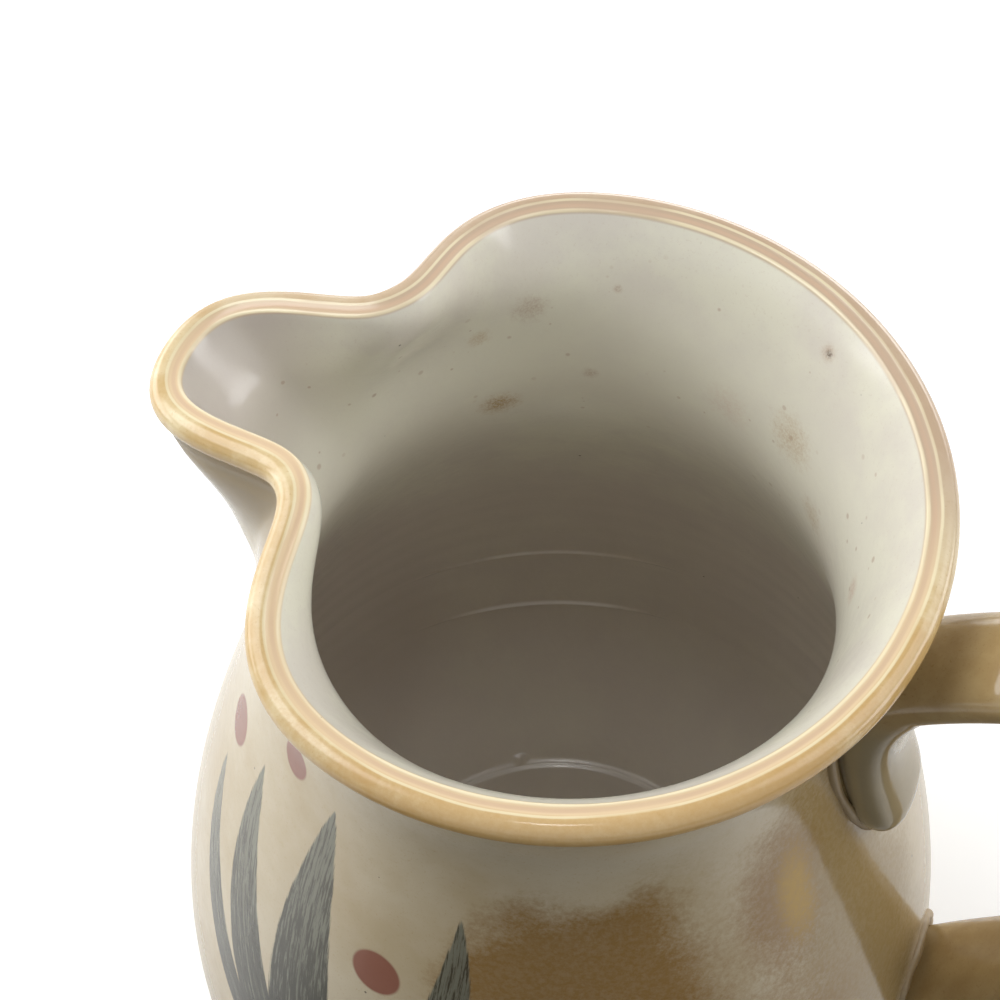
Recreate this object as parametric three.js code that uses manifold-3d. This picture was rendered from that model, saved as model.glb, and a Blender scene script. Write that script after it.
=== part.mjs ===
// A wheel-thrown stoneware pitcher with a pulled spout and a strap handle.
// Millimetres, +Z up. The origin is the middle of the base; the handle points along +X
// and the spout along -X.
import * as THREE from 'three';
import { mergeVertices } from 'three/addons/utils/BufferGeometryUtils.js';
import Module from 'manifold-3d';

const wasm = await Module();
wasm.setup();

// Thrown body: the outside line, from the base up to the middle of the lip
const BASE_RADIUS = 54;
const BASE_BEVEL = 3;
const BELLY_RADIUS = 75.7;
const BELLY_HEIGHT = 41;
const RIM_RADIUS = 58;
const RIM_HEIGHT = 189.5;
const THROAT_RADIUS = 48.6;
const THROAT_DROP = 30.5; // from the rim down to the throat
const FOOT_SPREAD = 14; // how far out the foot runs before it turns up into the belly
const FOOT_LIFT = 11;
const FOOT_FULLNESS = 16; // length of the steep stretch under and above the belly line
const BELLY_FULLNESS = 52;
const THROAT_TURN = 16; // length of the steep stretch under and above the throat
const FLARE_RISE = 11;
const FLARE_LEAN = 33; // degrees off upright at the lip
const FLARE_RUN = 8.4;

// Thrown body: the wall, the floor and the rolled lip
const WALL = 5.3;
const FLOOR = 6.3;
const FLOOR_RADIUS = 44;
const FLOOR_SLOPE = 35; // degrees at which the inside climbs away from the floor
const FLOOR_CLIMB = 14;
const INNER_FULLNESS = 22;
const LIP_ROLL = 2.6;
const LIP_FLATNESS = 0.05;
const LIP_TUCK = 73; // degrees below level where the roll meets the outside

// Pulled spout: the lip is pinched in at two places and drawn out between them
const SPOUT_DEPTH = 40;
const SPOUT_PULL = 14.1;
const SPOUT_DROP = 1.1;
const SPOUT_HALF_ANGLE = 16.5;
const SPOUT_SQUARENESS = 4.2;
const SPOUT_FULLNESS = 1.1;
const PINCH_DEPTH = 15.1;
const PINCH_RISE = 5.2;
const PINCH_ANGLE = 30;
const PINCH_SPREAD = 21.4;
const PINCH_TAPER = 4;
const PINCH_WIDENING = 45; // degrees by which the foot of a pinch is wider than its top
const FILL_DEPTH = 1.7; // round the spout, the hollow under the lip is filled out
const FILL_DROP = 18.5; // from the rim down to the end of the fill
const FILL_HALF_ANGLE = 42;

// Strap handle: it leaves the neck, crests beside the lip and runs back to the belly
const STRAP_WIDTH = 18.5;
const STRAP_THICKNESS = 9.5;
const STRAP_ROUNDNESS = 2.4;
const HANDLE_REACH = 45; // from the belly out to the middle of the strap
const GRIP_DROP = 41.5; // from the rim down to the furthest point of the strap
const CREST_SPRING = 58;
const GRIP_RUN = 38;
const UPPER_JOINT_DROP = 28; // from the rim down to the upper joint
const UPPER_ANGLE = 52;
const UPPER_SPRING = 40;
const UPPER_TAIL = 6; // length left inside the wall before it is trimmed
const LOWER_JOINT_RISE = 17.5; // from the belly line up to the lower joint
const LOWER_ANGLE = 62;
const LOWER_SPRING = 44;
const LOWER_TAIL = 16;
const LOWER_FLARE = 1.5;
const FLARE_START = 0.75; // share of the strap's length where the lower end starts to swell
const UPPER_ROOT = 0.25; // shares of the strap's length that hold the upper and the lower root
const LOWER_ROOT = 0.3;

// Tongue: the end of the strap, pressed flat down the neck below the upper joint
const TONGUE_WIDTH = 19;
const TONGUE_THICKNESS = 7.5;
const TONGUE_LENGTH = 35.5;
const TONGUE_ROOT = 3; // depth left inside the wall before it is trimmed
const BEND_DROP = 20; // the bend into the strap starts below the joint and ends above it
const BEND_RISE = 6.5;
const BEND_REACH = 5;

// Joining slip: the thin layer left in the joints and the bead squeezed out round them
const SLIP_GAP = 0.3;
const BEAD_WIDTH = 1.6;
const BEAD_HEIGHT = 1.3;

// Facets
const TURN_STEPS = 80;
const TURN_CROWDING = 0.4; // share by which the steps close up at the spout
const FOOT_STEPS = 6;
const SHOULDER_STEPS = 10;
const FLARE_STEPS = 7;
const LIP_STEPS = 9;
const STRAP_STEPS = 36;
const SECTION_STEPS = 20;
const BEND_STEPS = 9;
const TIP_STEPS = 5;

const degrees = THREE.MathUtils.degToRad;
const smoothstep = THREE.MathUtils.smoothstep;
const point = (r, z) => new THREE.Vector2(r, z);

const throatHeight = RIM_HEIGHT - THROAT_DROP;
const gripHeight = RIM_HEIGHT - GRIP_DROP;
const upperJointHeight = RIM_HEIGHT - UPPER_JOINT_DROP;
const lowerJointHeight = BELLY_HEIGHT + LOWER_JOINT_RISE;

const honeyGlaze = new THREE.MeshStandardMaterial({ color: 0xb9a27a, roughness: 0.14, metalness: 0 });
const handleGlaze = new THREE.MeshStandardMaterial({ color: 0xb3935f, roughness: 0.16, metalness: 0 });
const upperSlip = new THREE.MeshStandardMaterial({ color: 0x9c8460, roughness: 0.2, metalness: 0 });
const lowerSlip = new THREE.MeshStandardMaterial({ color: 0x9c8460, roughness: 0.2, metalness: 0 });

// The lip is a round roll with a slightly flattened top
const lipCentre = point(RIM_RADIUS - LIP_ROLL, RIM_HEIGHT);

function lipPoint(angle) {
  const radius = LIP_ROLL * (1 - LIP_FLATNESS * Math.cos(4 * angle));
  return { middle: lipCentre, offset: point(radius * Math.cos(angle), radius * Math.sin(angle)) };
}

// The outside of the wall is three curves that meet at the belly and at the throat
const footBottom = point(BASE_RADIUS + BASE_BEVEL, BASE_BEVEL);
const flareTop = lipCentre.clone().add(lipPoint(degrees(-LIP_TUCK)).offset);

const footCurve = new THREE.CubicBezierCurve(
  footBottom,
  point(footBottom.x + FOOT_SPREAD, footBottom.y + FOOT_LIFT),
  point(BELLY_RADIUS, BELLY_HEIGHT - FOOT_FULLNESS),
  point(BELLY_RADIUS, BELLY_HEIGHT),
);
const shoulderCurve = new THREE.CubicBezierCurve(
  point(BELLY_RADIUS, BELLY_HEIGHT),
  point(BELLY_RADIUS, BELLY_HEIGHT + BELLY_FULLNESS),
  point(THROAT_RADIUS, throatHeight - THROAT_TURN),
  point(THROAT_RADIUS, throatHeight),
);
const flareCurve = new THREE.CubicBezierCurve(
  point(THROAT_RADIUS, throatHeight),
  point(THROAT_RADIUS, throatHeight + FLARE_RISE),
  point(
    flareTop.x - FLARE_RUN * Math.sin(degrees(FLARE_LEAN)),
    flareTop.y - FLARE_RUN * Math.cos(degrees(FLARE_LEAN)),
  ),
  flareTop,
);

// A point of the wall is the middle of the wall and an offset from it, so that the spout
// can bend the middle and leave the thickness as it was
function wallPoint(curve, t, side) {
  const along = curve.getTangent(t);
  const outward = point(along.y, -along.x);
  const middle = curve.getPoint(t).addScaledVector(outward, -WALL / 2);
  return { middle, offset: outward.multiplyScalar(side * WALL / 2) };
}

function fixedPoint(p) {
  return { middle: p, offset: point(0, 0) };
}

// Evenly spaced values from one end up to, but not onto, the other
function spread(steps, from, to) {
  return Array.from({ length: steps }, (_, i) => from + (to - from) * i / steps);
}

// The whole wall: from the middle of the base up the outside, over the lip and down the inside
function wallLine() {
  const innerBelly = point(BELLY_RADIUS - WALL, BELLY_HEIGHT);
  const innerFoot = new THREE.CubicBezierCurve(
    innerBelly,
    point(innerBelly.x, innerBelly.y - INNER_FULLNESS),
    point(
      FLOOR_RADIUS + FLOOR_CLIMB * Math.cos(degrees(FLOOR_SLOPE)),
      FLOOR + FLOOR_CLIMB * Math.sin(degrees(FLOOR_SLOPE)),
    ),
    point(FLOOR_RADIUS, FLOOR),
  );
  return [
    fixedPoint(point(0, 0)),
    fixedPoint(point(BASE_RADIUS, 0)),
    ...spread(FOOT_STEPS, 0, 1).map((t) => fixedPoint(footCurve.getPoint(t))),
    ...spread(SHOULDER_STEPS, 0, 1).map((t) => wallPoint(shoulderCurve, t, 1)),
    ...spread(FLARE_STEPS, 0, 1).map((t) => wallPoint(flareCurve, t, 1)),
    ...spread(LIP_STEPS, degrees(-LIP_TUCK), degrees(180 - FLARE_LEAN)).map(lipPoint),
    lipPoint(degrees(180 - FLARE_LEAN)),
    ...spread(FLARE_STEPS, 1, 0).slice(1).map((t) => wallPoint(flareCurve, t, -1)),
    ...spread(SHOULDER_STEPS, 1, 0).map((t) => wallPoint(shoulderCurve, t, -1)),
    ...spread(FOOT_STEPS, 0, 1).map((t) => fixedPoint(innerFoot.getPoint(t))),
    fixedPoint(point(FLOOR_RADIUS, FLOOR)),
    fixedPoint(point(0, FLOOR)),
  ];
}

// How far the spout moves the middle of the wall, at an angle from the spout and at a height
function spoutMove(angle, z) {
  const depth = smoothstep(z, RIM_HEIGHT - SPOUT_DEPTH, RIM_HEIGHT);
  const turn = THREE.MathUtils.radToDeg(angle);
  const reach = PINCH_SPREAD + PINCH_WIDENING * (1 - depth);
  const bump = (centre) => Math.exp(-(((turn - centre) / reach) ** 2));
  const drawn = Math.exp(-(Math.abs(turn / SPOUT_HALF_ANGLE) ** SPOUT_SQUARENESS));
  const pull = drawn * depth ** SPOUT_FULLNESS;
  const pinch = (bump(PINCH_ANGLE) + bump(-PINCH_ANGLE)) * depth ** PINCH_TAPER;
  return { out: SPOUT_PULL * pull - PINCH_DEPTH * pinch, up: PINCH_RISE * pinch - SPOUT_DROP * pull };
}

// How far the hollow under the lip is filled out, at an angle from the spout and at a height
function spoutFill(angle, z) {
  const share = Math.max(0, 1 - (RIM_HEIGHT - z) / FILL_DROP);
  const around = Math.exp(-((THREE.MathUtils.radToDeg(angle) / FILL_HALF_ANGLE) ** 4));
  const fullest = 27 / 4; // brings the top of the curve to 1
  return FILL_DEPTH * around * fullest * share ** 2 * (1 - share);
}

// The wall line turned about the axis. The offset of each point is laid square to the bent wall.
function thrownBody() {
  const line = wallLine();
  const geometry = new THREE.LatheGeometry(line.map((p) => p.middle), TURN_STEPS);
  const position = geometry.getAttribute('position');
  const small = 0.001;
  for (let i = 0; i < position.count; i += 1) {
    const { middle, offset } = line[i % line.length];
    const even = 2 * Math.PI * Math.floor(i / line.length) / TURN_STEPS - Math.PI;
    const angle = even - TURN_CROWDING * Math.sin(even);
    const move = spoutMove(angle, middle.y);
    const rise = spoutMove(angle + small, middle.y).out - spoutMove(angle - small, middle.y).out;
    const slope = rise / (2 * small);
    const r = middle.x + move.out;
    const size = Math.hypot(r, slope) || 1;
    const stand = offset.x > 0 ? offset.x + spoutFill(angle, middle.y) : offset.x;
    const outward = r + stand * r / size;
    const sideways = -stand * slope / size;
    const heading = angle + Math.PI;
    position.setXYZ(
      i,
      outward * Math.cos(heading) - sideways * Math.sin(heading),
      outward * Math.sin(heading) + sideways * Math.cos(heading),
      middle.y + offset.y + move.up,
    );
  }
  return geometry;
}

// The plain outside of the body, without the spout and swollen by a margin: it trims the joints
function bodyEnvelope(margin) {
  const swell = (curve, steps) => spread(steps, 1, 0).reverse().map((t) => {
    const { middle, offset } = wallPoint(curve, t, 1);
    return middle.addScaledVector(offset, 1 + 2 * margin / WALL);
  });
  const outline = [
    point(0, -margin),
    point(BASE_RADIUS + margin, -margin),
    ...swell(footCurve, FOOT_STEPS),
    ...swell(shoulderCurve, 2 * SHOULDER_STEPS),
    ...swell(flareCurve, FLARE_STEPS),
    point(0, flareTop.y),
  ];
  return new THREE.LatheGeometry(outline, TURN_STEPS).rotateX(Math.PI / 2);
}

// The radius of the plain outside at a height between the belly and the lip, by halving
function outerRadius(z) {
  const curve = z < throatHeight ? shoulderCurve : flareCurve;
  const halvings = 40;
  let low = 0;
  let high = 1;
  for (let i = 0; i < halvings; i += 1) {
    const t = (low + high) / 2;
    if (curve.getPoint(t).y < z) low = t;
    else high = t;
  }
  return curve.getPoint(low).x;
}

// A closed skin over a row of rings with equal counts of points, capped at both ends
function loft(rings) {
  const count = rings[0].length;
  const middleOf = (ring) => ring.reduce((sum, p) => sum.add(p), new THREE.Vector3()).divideScalar(count);
  const points = [...rings.flat(), middleOf(rings[0]), middleOf(rings.at(-1))];
  const end = (rings.length - 1) * count;
  const firstCap = rings.length * count;
  const lastCap = firstCap + 1;
  const index = [];
  for (let j = 0; j < count; j += 1) {
    const next = (j + 1) % count;
    for (let a = 0; a < end; a += count) {
      const b = a + count;
      index.push(a + j, a + next, b + j, a + next, b + next, b + j);
    }
    index.push(firstCap, next, j, lastCap, end + j, end + next);
  }
  return new THREE.BufferGeometry().setFromPoints(points).setIndex(index);
}

// A rounded oblong ring, wide along y and deep along a direction in the xz plane
function oblong(centre, direction, halfWidth, halfDepth) {
  const bulge = (v) => Math.sign(v) * Math.abs(v) ** (2 / STRAP_ROUNDNESS);
  return spread(SECTION_STEPS, 0, 2 * Math.PI).map((angle) => {
    const wide = new THREE.Vector3(0, bulge(Math.cos(angle)) * halfWidth, 0);
    return wide.add(centre).addScaledVector(direction, bulge(Math.sin(angle)) * halfDepth);
  });
}

// The middle line of the strap, from inside the neck wall round to inside the belly wall
function strapLine() {
  const place = (x, z) => new THREE.Vector3(x, 0, z);
  const heading = (angle) => place(Math.cos(degrees(angle)), Math.sin(degrees(angle)));
  const along = (from, direction, length) => from.clone().addScaledVector(direction, length);
  const reach = BELLY_RADIUS + HANDLE_REACH;
  const upper = place(outerRadius(upperJointHeight), upperJointHeight);
  const lower = place(outerRadius(lowerJointHeight), lowerJointHeight);
  const grip = place(reach, gripHeight);
  const rising = heading(UPPER_ANGLE);
  const climbing = heading(LOWER_ANGLE);
  const line = new THREE.CurvePath();
  line.add(new THREE.LineCurve3(along(upper, rising, -UPPER_TAIL), upper));
  line.add(new THREE.CubicBezierCurve3(
    upper,
    along(upper, rising, UPPER_SPRING),
    place(reach, gripHeight + CREST_SPRING),
    grip,
  ));
  line.add(new THREE.CubicBezierCurve3(
    grip,
    place(reach, gripHeight - GRIP_RUN),
    along(lower, climbing, LOWER_SPRING),
    lower,
  ));
  line.add(new THREE.LineCurve3(lower, along(lower, climbing, -LOWER_TAIL)));
  return line;
}

// The strap between two shares of its length, swollen by a margin
function strap(margin, from, to) {
  const line = strapLine();
  const steps = Math.round(STRAP_STEPS * (to - from));
  return loft([...spread(steps, from, to), to].map((t) => {
    const along = line.getTangentAt(t);
    const across = new THREE.Vector3(-along.z, 0, along.x);
    const swell = LOWER_FLARE * smoothstep(t, FLARE_START, 1) + margin;
    return oblong(line.getPointAt(t), across, STRAP_WIDTH / 2 + swell, STRAP_THICKNESS / 2 + swell);
  }));
}

// The tongue lies down the neck with a round lower end, and at its top it bends out into the strap
function tongue(margin) {
  const halfWidth = TONGUE_WIDTH / 2;
  const bendBottom = upperJointHeight - BEND_DROP;
  const bendTop = upperJointHeight + BEND_RISE;
  const tipTop = upperJointHeight - TONGUE_LENGTH + halfWidth;
  const tipEdge = degrees(82);
  const inward = new THREE.Vector3(-1, 0, 0);
  const ring = (z, share) => {
    const bend = Math.max(0, (z - bendBottom) / (bendTop - bendBottom));
    const proud = (TONGUE_THICKNESS + BEND_REACH * bend ** 2) * share + margin;
    const halfDepth = (proud + TONGUE_ROOT) / 2;
    const centre = new THREE.Vector3(outerRadius(z) + proud - halfDepth, 0, z);
    return oblong(centre, inward, halfWidth * share + margin, halfDepth);
  };
  const tip = spread(TIP_STEPS, tipEdge, 0).map((angle) => {
    return ring(tipTop - (halfWidth + margin) * Math.sin(angle), Math.cos(angle));
  });
  const run = [...spread(BEND_STEPS, tipTop, bendTop), bendTop].map((z) => ring(z, 1));
  return loft([...tip, ...run]);
}

// A closed skin as a solid that can be joined and cut, and back again
function solid(geometry) {
  const bare = geometry.clone();
  bare.deleteAttribute('normal');
  bare.deleteAttribute('uv');
  const merged = mergeVertices(bare, 1e-4);
  return new wasm.Manifold(new wasm.Mesh({
    numProp: 3,
    vertProperties: merged.getAttribute('position').array,
    triVerts: new Uint32Array(merged.getIndex().array),
  }));
}

function skin(body) {
  const mesh = body.getMesh();
  const geometry = new THREE.BufferGeometry();
  geometry.setAttribute('position', new THREE.BufferAttribute(mesh.vertProperties, 3));
  geometry.setIndex(new THREE.BufferAttribute(mesh.triVerts, 1));
  geometry.computeVertexNormals();
  return geometry;
}

// Both roots of the handle are trimmed to the body and leave room for the joining slip
function strapHandle() {
  const blank = solid(strap(0, 0, 1)).add(solid(tongue(0)));
  return skin(blank.subtract(solid(bodyEnvelope(SLIP_GAP))));
}

const upperRoot = (margin) => solid(strap(margin, 0, UPPER_ROOT)).add(solid(tongue(margin)));
const lowerRoot = (margin) => solid(strap(margin, 1 - LOWER_ROOT, 1));

// A bead fills the corner between the body and one root of the handle, all the way round
function bead(root) {
  const corner = root(SLIP_GAP + BEAD_WIDTH).intersect(solid(bodyEnvelope(SLIP_GAP + BEAD_HEIGHT)));
  return skin(corner.subtract(root(SLIP_GAP)).subtract(solid(bodyEnvelope(SLIP_GAP))));
}

function piece(name, geometry, material) {
  const mesh = new THREE.Mesh(geometry, material);
  mesh.name = name;
  return mesh;
}

const pitcher = new THREE.Group();
pitcher.add(piece('thrown_body', thrownBody(), honeyGlaze));
pitcher.add(piece('strap_handle', strapHandle(), handleGlaze));
pitcher.add(piece('upper_joint_bead', bead(upperRoot), upperSlip));
pitcher.add(piece('lower_joint_bead', bead(lowerRoot), lowerSlip));

export default pitcher;
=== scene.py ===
# %% [markdown]
# # A wheel-thrown pitcher with a pulled spout
# The real jug is one lump of clay thrown on a wheel, with a lip that was rolled, pinched and pulled
# into a spout while it was wet, and a strap handle stuck on with slip. The outside has a glossy cream
# glaze under sprayed clouds of iron brown, the lip and the handle a honey glaze, and the inside an
# off-white liner. The frame holds the pieces at their real size, so each piece here is made in the same
# place, finer, and then glazed.

# %% The frame
import math

import bpy
import numpy as np
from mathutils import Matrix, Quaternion, Vector


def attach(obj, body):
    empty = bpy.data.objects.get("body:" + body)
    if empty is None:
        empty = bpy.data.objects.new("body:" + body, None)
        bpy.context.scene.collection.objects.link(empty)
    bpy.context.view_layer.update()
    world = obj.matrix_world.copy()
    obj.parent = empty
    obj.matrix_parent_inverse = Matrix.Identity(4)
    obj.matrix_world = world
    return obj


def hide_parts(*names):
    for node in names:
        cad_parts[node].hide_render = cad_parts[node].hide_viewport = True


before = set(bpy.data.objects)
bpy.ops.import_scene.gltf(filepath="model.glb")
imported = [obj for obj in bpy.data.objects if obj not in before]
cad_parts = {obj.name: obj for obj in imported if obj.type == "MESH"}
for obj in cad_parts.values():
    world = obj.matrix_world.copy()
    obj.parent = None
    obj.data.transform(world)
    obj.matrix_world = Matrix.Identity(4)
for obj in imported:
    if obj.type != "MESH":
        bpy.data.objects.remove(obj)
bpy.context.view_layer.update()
MM = 0.001

# %% [markdown]
# The picture was taken from close above the front of the jug. A camera can be turned by three angles,
# but a place, a point to look at and a small roll are easier to read and to change. A 72 mm lens on a
# 36 mm sensor gives the narrow view of a phone held near the rim.

# %% Camera
CAMERA_AT = Vector((58.0, -157.2, 436.5)) * MM
LOOK_AT = Vector((-18.8, 17.8, 150.0)) * MM
CAMERA_ROLL = -1.6  # degrees
LENS = 72.0
SENSOR = 36.0
CLIP_START = 0.01  # m


def standing(name, data):
    """A new object that stands in the scene."""
    made = bpy.data.objects.new(name, data)
    bpy.context.scene.collection.objects.link(made)
    return made


camera = standing("camera", bpy.data.cameras.new("camera"))
camera.data.lens = LENS
camera.data.sensor_width = SENSOR
camera.data.clip_start = CLIP_START
camera.location = CAMERA_AT
camera.rotation_mode = "QUATERNION"
aim = (LOOK_AT - CAMERA_AT).to_track_quat("-Z", "Y")
camera.rotation_quaternion = aim @ Quaternion((0, 0, 1), math.radians(CAMERA_ROLL))
bpy.context.scene.camera = camera
bpy.context.scene.view_settings.view_transform = "Standard"
print("camera is", round((LOOK_AT - CAMERA_AT).length / MM), "mm from what it looks at")

# %% [markdown]
# A thrown wall is a line turned about an axis. The outside line is three curves that meet at the belly
# and at the throat. It could be drawn by hand as a Bezier curve object with a Screw modifier, but the
# spout has to bend the wall later, so the line is kept as numbers: the middle of the wall, and an
# offset from the middle to the surface.

# %% The line of the wall
BASE_RADIUS = 54.0
BASE_BEVEL = 3.0
BELLY_RADIUS = 75.66
BELLY_HEIGHT = 41.0
RIM_RADIUS = 58.0
RIM_HEIGHT = 189.5
THROAT_RADIUS = 48.6
THROAT_HEIGHT = 159.0
WALL = 5.3
FLOOR = 6.3
FLOOR_RADIUS = 44.0
FLOOR_CLIMB = 14.0  # how far the inside keeps the slope with which it leaves the floor
FLOOR_SLOPE = math.radians(35)
FLARE_LEAN = math.radians(33)
FLARE_RUN = 8.4
LIP_ROLL = 2.5  # radius of the outer roll
LIP_SINK = 0.2  # how far the middle of the roll lies below the rim's height
LIP_TUCK = -73.0  # degrees: where the roll meets the outside
LIP_TILT = 10.0  # degrees by which the flat of the lip leans inwards
LIP_FLAT = 1.8
LIP_DISH = 0.12
LIP_EDGE = 0.7  # radius of the inner edge
LIP_END = 150.0  # degrees: where the inner edge meets the inside

LIP_CENTRE = np.array((RIM_RADIUS - LIP_ROLL, RIM_HEIGHT - LIP_SINK))


def units(rows):
    return rows / np.linalg.norm(rows, axis=1, keepdims=True)


def walked(places):
    """How far along a row of places each one lies."""
    return np.concatenate([[0], np.cumsum(np.linalg.norm(np.diff(places, axis=0), axis=1))])


def sampled(at, known, rows):
    """Rows of two numbers, read off between the known ones."""
    return np.stack([np.interp(at, known, rows[:, k]) for k in (0, 1)], 1)


def bezier(corners, t):
    """Places and unit slopes of a cubic curve."""
    a, b, c, d = np.asarray(corners, float)
    t = np.asarray(t, float)[:, None]
    s = 1 - t
    place = s**3 * a + 3 * s * s * t * b + 3 * s * t * t * c + t**3 * d
    slope = s * s * (b - a) + 2 * s * t * (c - b) + t * t * (d - c)
    return place, units(slope)


def arc(degrees, radius):
    angle = np.radians(np.atleast_1d(degrees))
    return radius * np.stack([np.cos(angle), np.sin(angle)], 1)


def lip_offsets(roll_steps=26, flat_steps=9, edge_steps=9):
    """The lip from outside to inside: a round roll, a faintly dished flat and a tight inner edge."""
    turn = 90 + LIP_TILT
    up, inward = arc(turn, 1)[0], arc(turn + 90, 1)[0]
    roll = arc(np.linspace(LIP_TUCK, turn, roll_steps), LIP_ROLL)
    share = np.linspace(0, 1, flat_steps)[1:-1, None]
    flat = roll[-1] + share * LIP_FLAT * inward - LIP_DISH * np.sin(np.pi * share) * up
    edge_centre = roll[-1] + LIP_FLAT * inward - LIP_EDGE * up
    return np.vstack([roll, flat, edge_centre + arc(np.linspace(turn, LIP_END, edge_steps), LIP_EDGE)])


flare_top = LIP_CENTRE + arc(LIP_TUCK, LIP_ROLL)[0]
FOOT = ((57, 3), (71, 14), (BELLY_RADIUS, 25), (BELLY_RADIUS, BELLY_HEIGHT))
SHOULDER = (
    (BELLY_RADIUS, BELLY_HEIGHT),
    (BELLY_RADIUS, 93),
    (THROAT_RADIUS, 143),
    (THROAT_RADIUS, THROAT_HEIGHT),
)
FLARE = (
    (THROAT_RADIUS, THROAT_HEIGHT),
    (THROAT_RADIUS, 170),
    flare_top - FLARE_RUN * np.array((math.sin(FLARE_LEAN), math.cos(FLARE_LEAN))),
    flare_top,
)
INNER_FOOT = (
    (BELLY_RADIUS - WALL, BELLY_HEIGHT),
    (BELLY_RADIUS - WALL, 19),
    (FLOOR_RADIUS + FLOOR_CLIMB * math.cos(FLOOR_SLOPE), FLOOR + FLOOR_CLIMB * math.sin(FLOOR_SLOPE)),
    (FLOOR_RADIUS, FLOOR),
)
print("the lip's top is at", LIP_CENTRE[1] + LIP_ROLL, "mm")

# %% [markdown]
# Two Bezier curves that meet share a direction at the throat, but not a bend, and a glossy glaze shows such
# a jump as a hard line in its reflections. A rib drawn over wet clay leaves no such line. So both curves
# become one row of even steps, and each point near the throat is averaged with its neighbours.

# %% The softened wall
SOFT_STEPS = 800
SOFT_REACH = 9.0  # mm
SOFT_SPAN = 22.0  # mm above and below the throat


def softened_wall():
    """Shares of the wall's length, with the places of the outside and their slopes."""
    t = np.linspace(0, 1, SOFT_STEPS)
    rough = np.vstack([bezier(SHOULDER, t)[0], bezier(FLARE, t)[0][1:]])
    run = walked(rough)
    even = np.linspace(0, run[-1], SOFT_STEPS)
    places = sampled(even, run, rough)
    reach = int(2 * SOFT_REACH / even[1])
    weights = np.exp(-((np.arange(-reach, reach + 1) * even[1] / SOFT_REACH) ** 2))
    padded = np.pad(places, ((reach, reach), (0, 0)), mode="edge")
    soft = np.stack([np.convolve(padded[:, k], weights / weights.sum(), "valid") for k in (0, 1)], 1)
    near_throat = np.exp(-(((places[:, 1] - THROAT_HEIGHT) / SOFT_SPAN) ** 4))[:, None]
    places = places + near_throat * (soft - places)
    return even / run[-1], places, units(np.gradient(places, axis=0))


wall_shares, wall_places, wall_slopes = softened_wall()
print("the outside is", round(walked(wall_places)[-1]), "mm long")

# %% [markdown]
# The line runs from the middle of the base up the outside, over the lip and down the inside to the
# middle of the floor. Each stretch gets as many points as its bends need. The distance along the line,
# counted from the top of the lip, is kept too: it tells the glaze later which side it is on.

# %% The whole line
FOOT_STEPS = 16
OUTSIDE_STEPS = 76
FLOOR_STEPS = 14
FINE_HEIGHTS = (59.0, 63.4)  # a finger ridge lies between them and needs fine steps
BEVEL_END = 70  # degrees: where the bevel of the base meets the foot
FOOT_START = 0.06  # share of the foot's curve that the bevel takes up
RIBBED_RADIUS = 39.0  # the floor needs fine steps outside it


def wall_stretch(shares, side):
    """Middle of the wall and offset to its outside (side 1) or its inside (side -1)."""
    place = sampled(shares, wall_shares, wall_places)
    along = sampled(shares, wall_shares, wall_slopes)
    outward = np.stack([along[:, 1], -along[:, 0]], 1)
    return np.hstack([place - outward * WALL / 2, outward * side * WALL / 2])


def plain_stretch(places):
    """Points that the spout never reaches, with no offset."""
    places = np.atleast_2d(places)
    return np.hstack([places, np.zeros_like(places)])


def steps(count, start, end):
    return np.linspace(start, end, count, endpoint=False)


lip = lip_offsets()
lip_stretch = np.hstack([np.tile(LIP_CENTRE, (len(lip), 1)), lip])
low, high = np.interp(FINE_HEIGHTS, wall_places[:, 1], wall_shares)
inside_shares = np.concatenate([steps(72, 1, high), steps(28, high, low), steps(8, low, 0)])
inner_foot = np.concatenate([
    steps(3, 0, 0.03), steps(26, 0.03, 0.09), steps(16, 0.09, 0.92), steps(18, 0.92, 1),
])
base_radii = steps(8, BASE_RADIUS / 8, BASE_RADIUS)
bevel = np.radians(np.linspace(0, BEVEL_END, 5))[:, None]
bevel_places = np.hstack([BASE_RADIUS + BASE_BEVEL * np.sin(bevel), BASE_BEVEL * (1 - np.cos(bevel))])
floor_radii = np.concatenate([
    steps(18, FLOOR_RADIUS, RIBBED_RADIUS),
    np.linspace(RIBBED_RADIUS, RIBBED_RADIUS / FLOOR_STEPS, FLOOR_STEPS),
])
stretches = [
    plain_stretch(np.stack([base_radii, 0 * base_radii], 1)),
    plain_stretch(bevel_places),
    plain_stretch(bezier(FOOT, steps(FOOT_STEPS, FOOT_START, 1))[0]),
    wall_stretch(steps(OUTSIDE_STEPS, 0, 1), 1),
    lip_stretch,
    wall_stretch(inside_shares, -1),
    plain_stretch(bezier(INNER_FOOT, inner_foot)[0]),
    plain_stretch(np.stack([floor_radii, 0 * floor_radii + FLOOR], 1)),
]
line = np.vstack(stretches)
surface_line = line[:, :2] + line[:, 2:]
run = walked(surface_line)
over_lip = run - run[surface_line[:, 1].argmax()]
print("the line has", len(line), "points and is", round(run[-1]), "mm long")

# %% [markdown]
# The fingers that made the wall left traces. Inside, they left a shallow spiral of throwing rings, deeper
# near the bottom, two sharper ridges where a finger lifted off, and a fine ridge where the floor was
# compressed with a rib. A bump texture could fake them, but they catch the light through the mouth, so
# they are real: each point of the inside moves a fraction of a millimetre.

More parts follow.
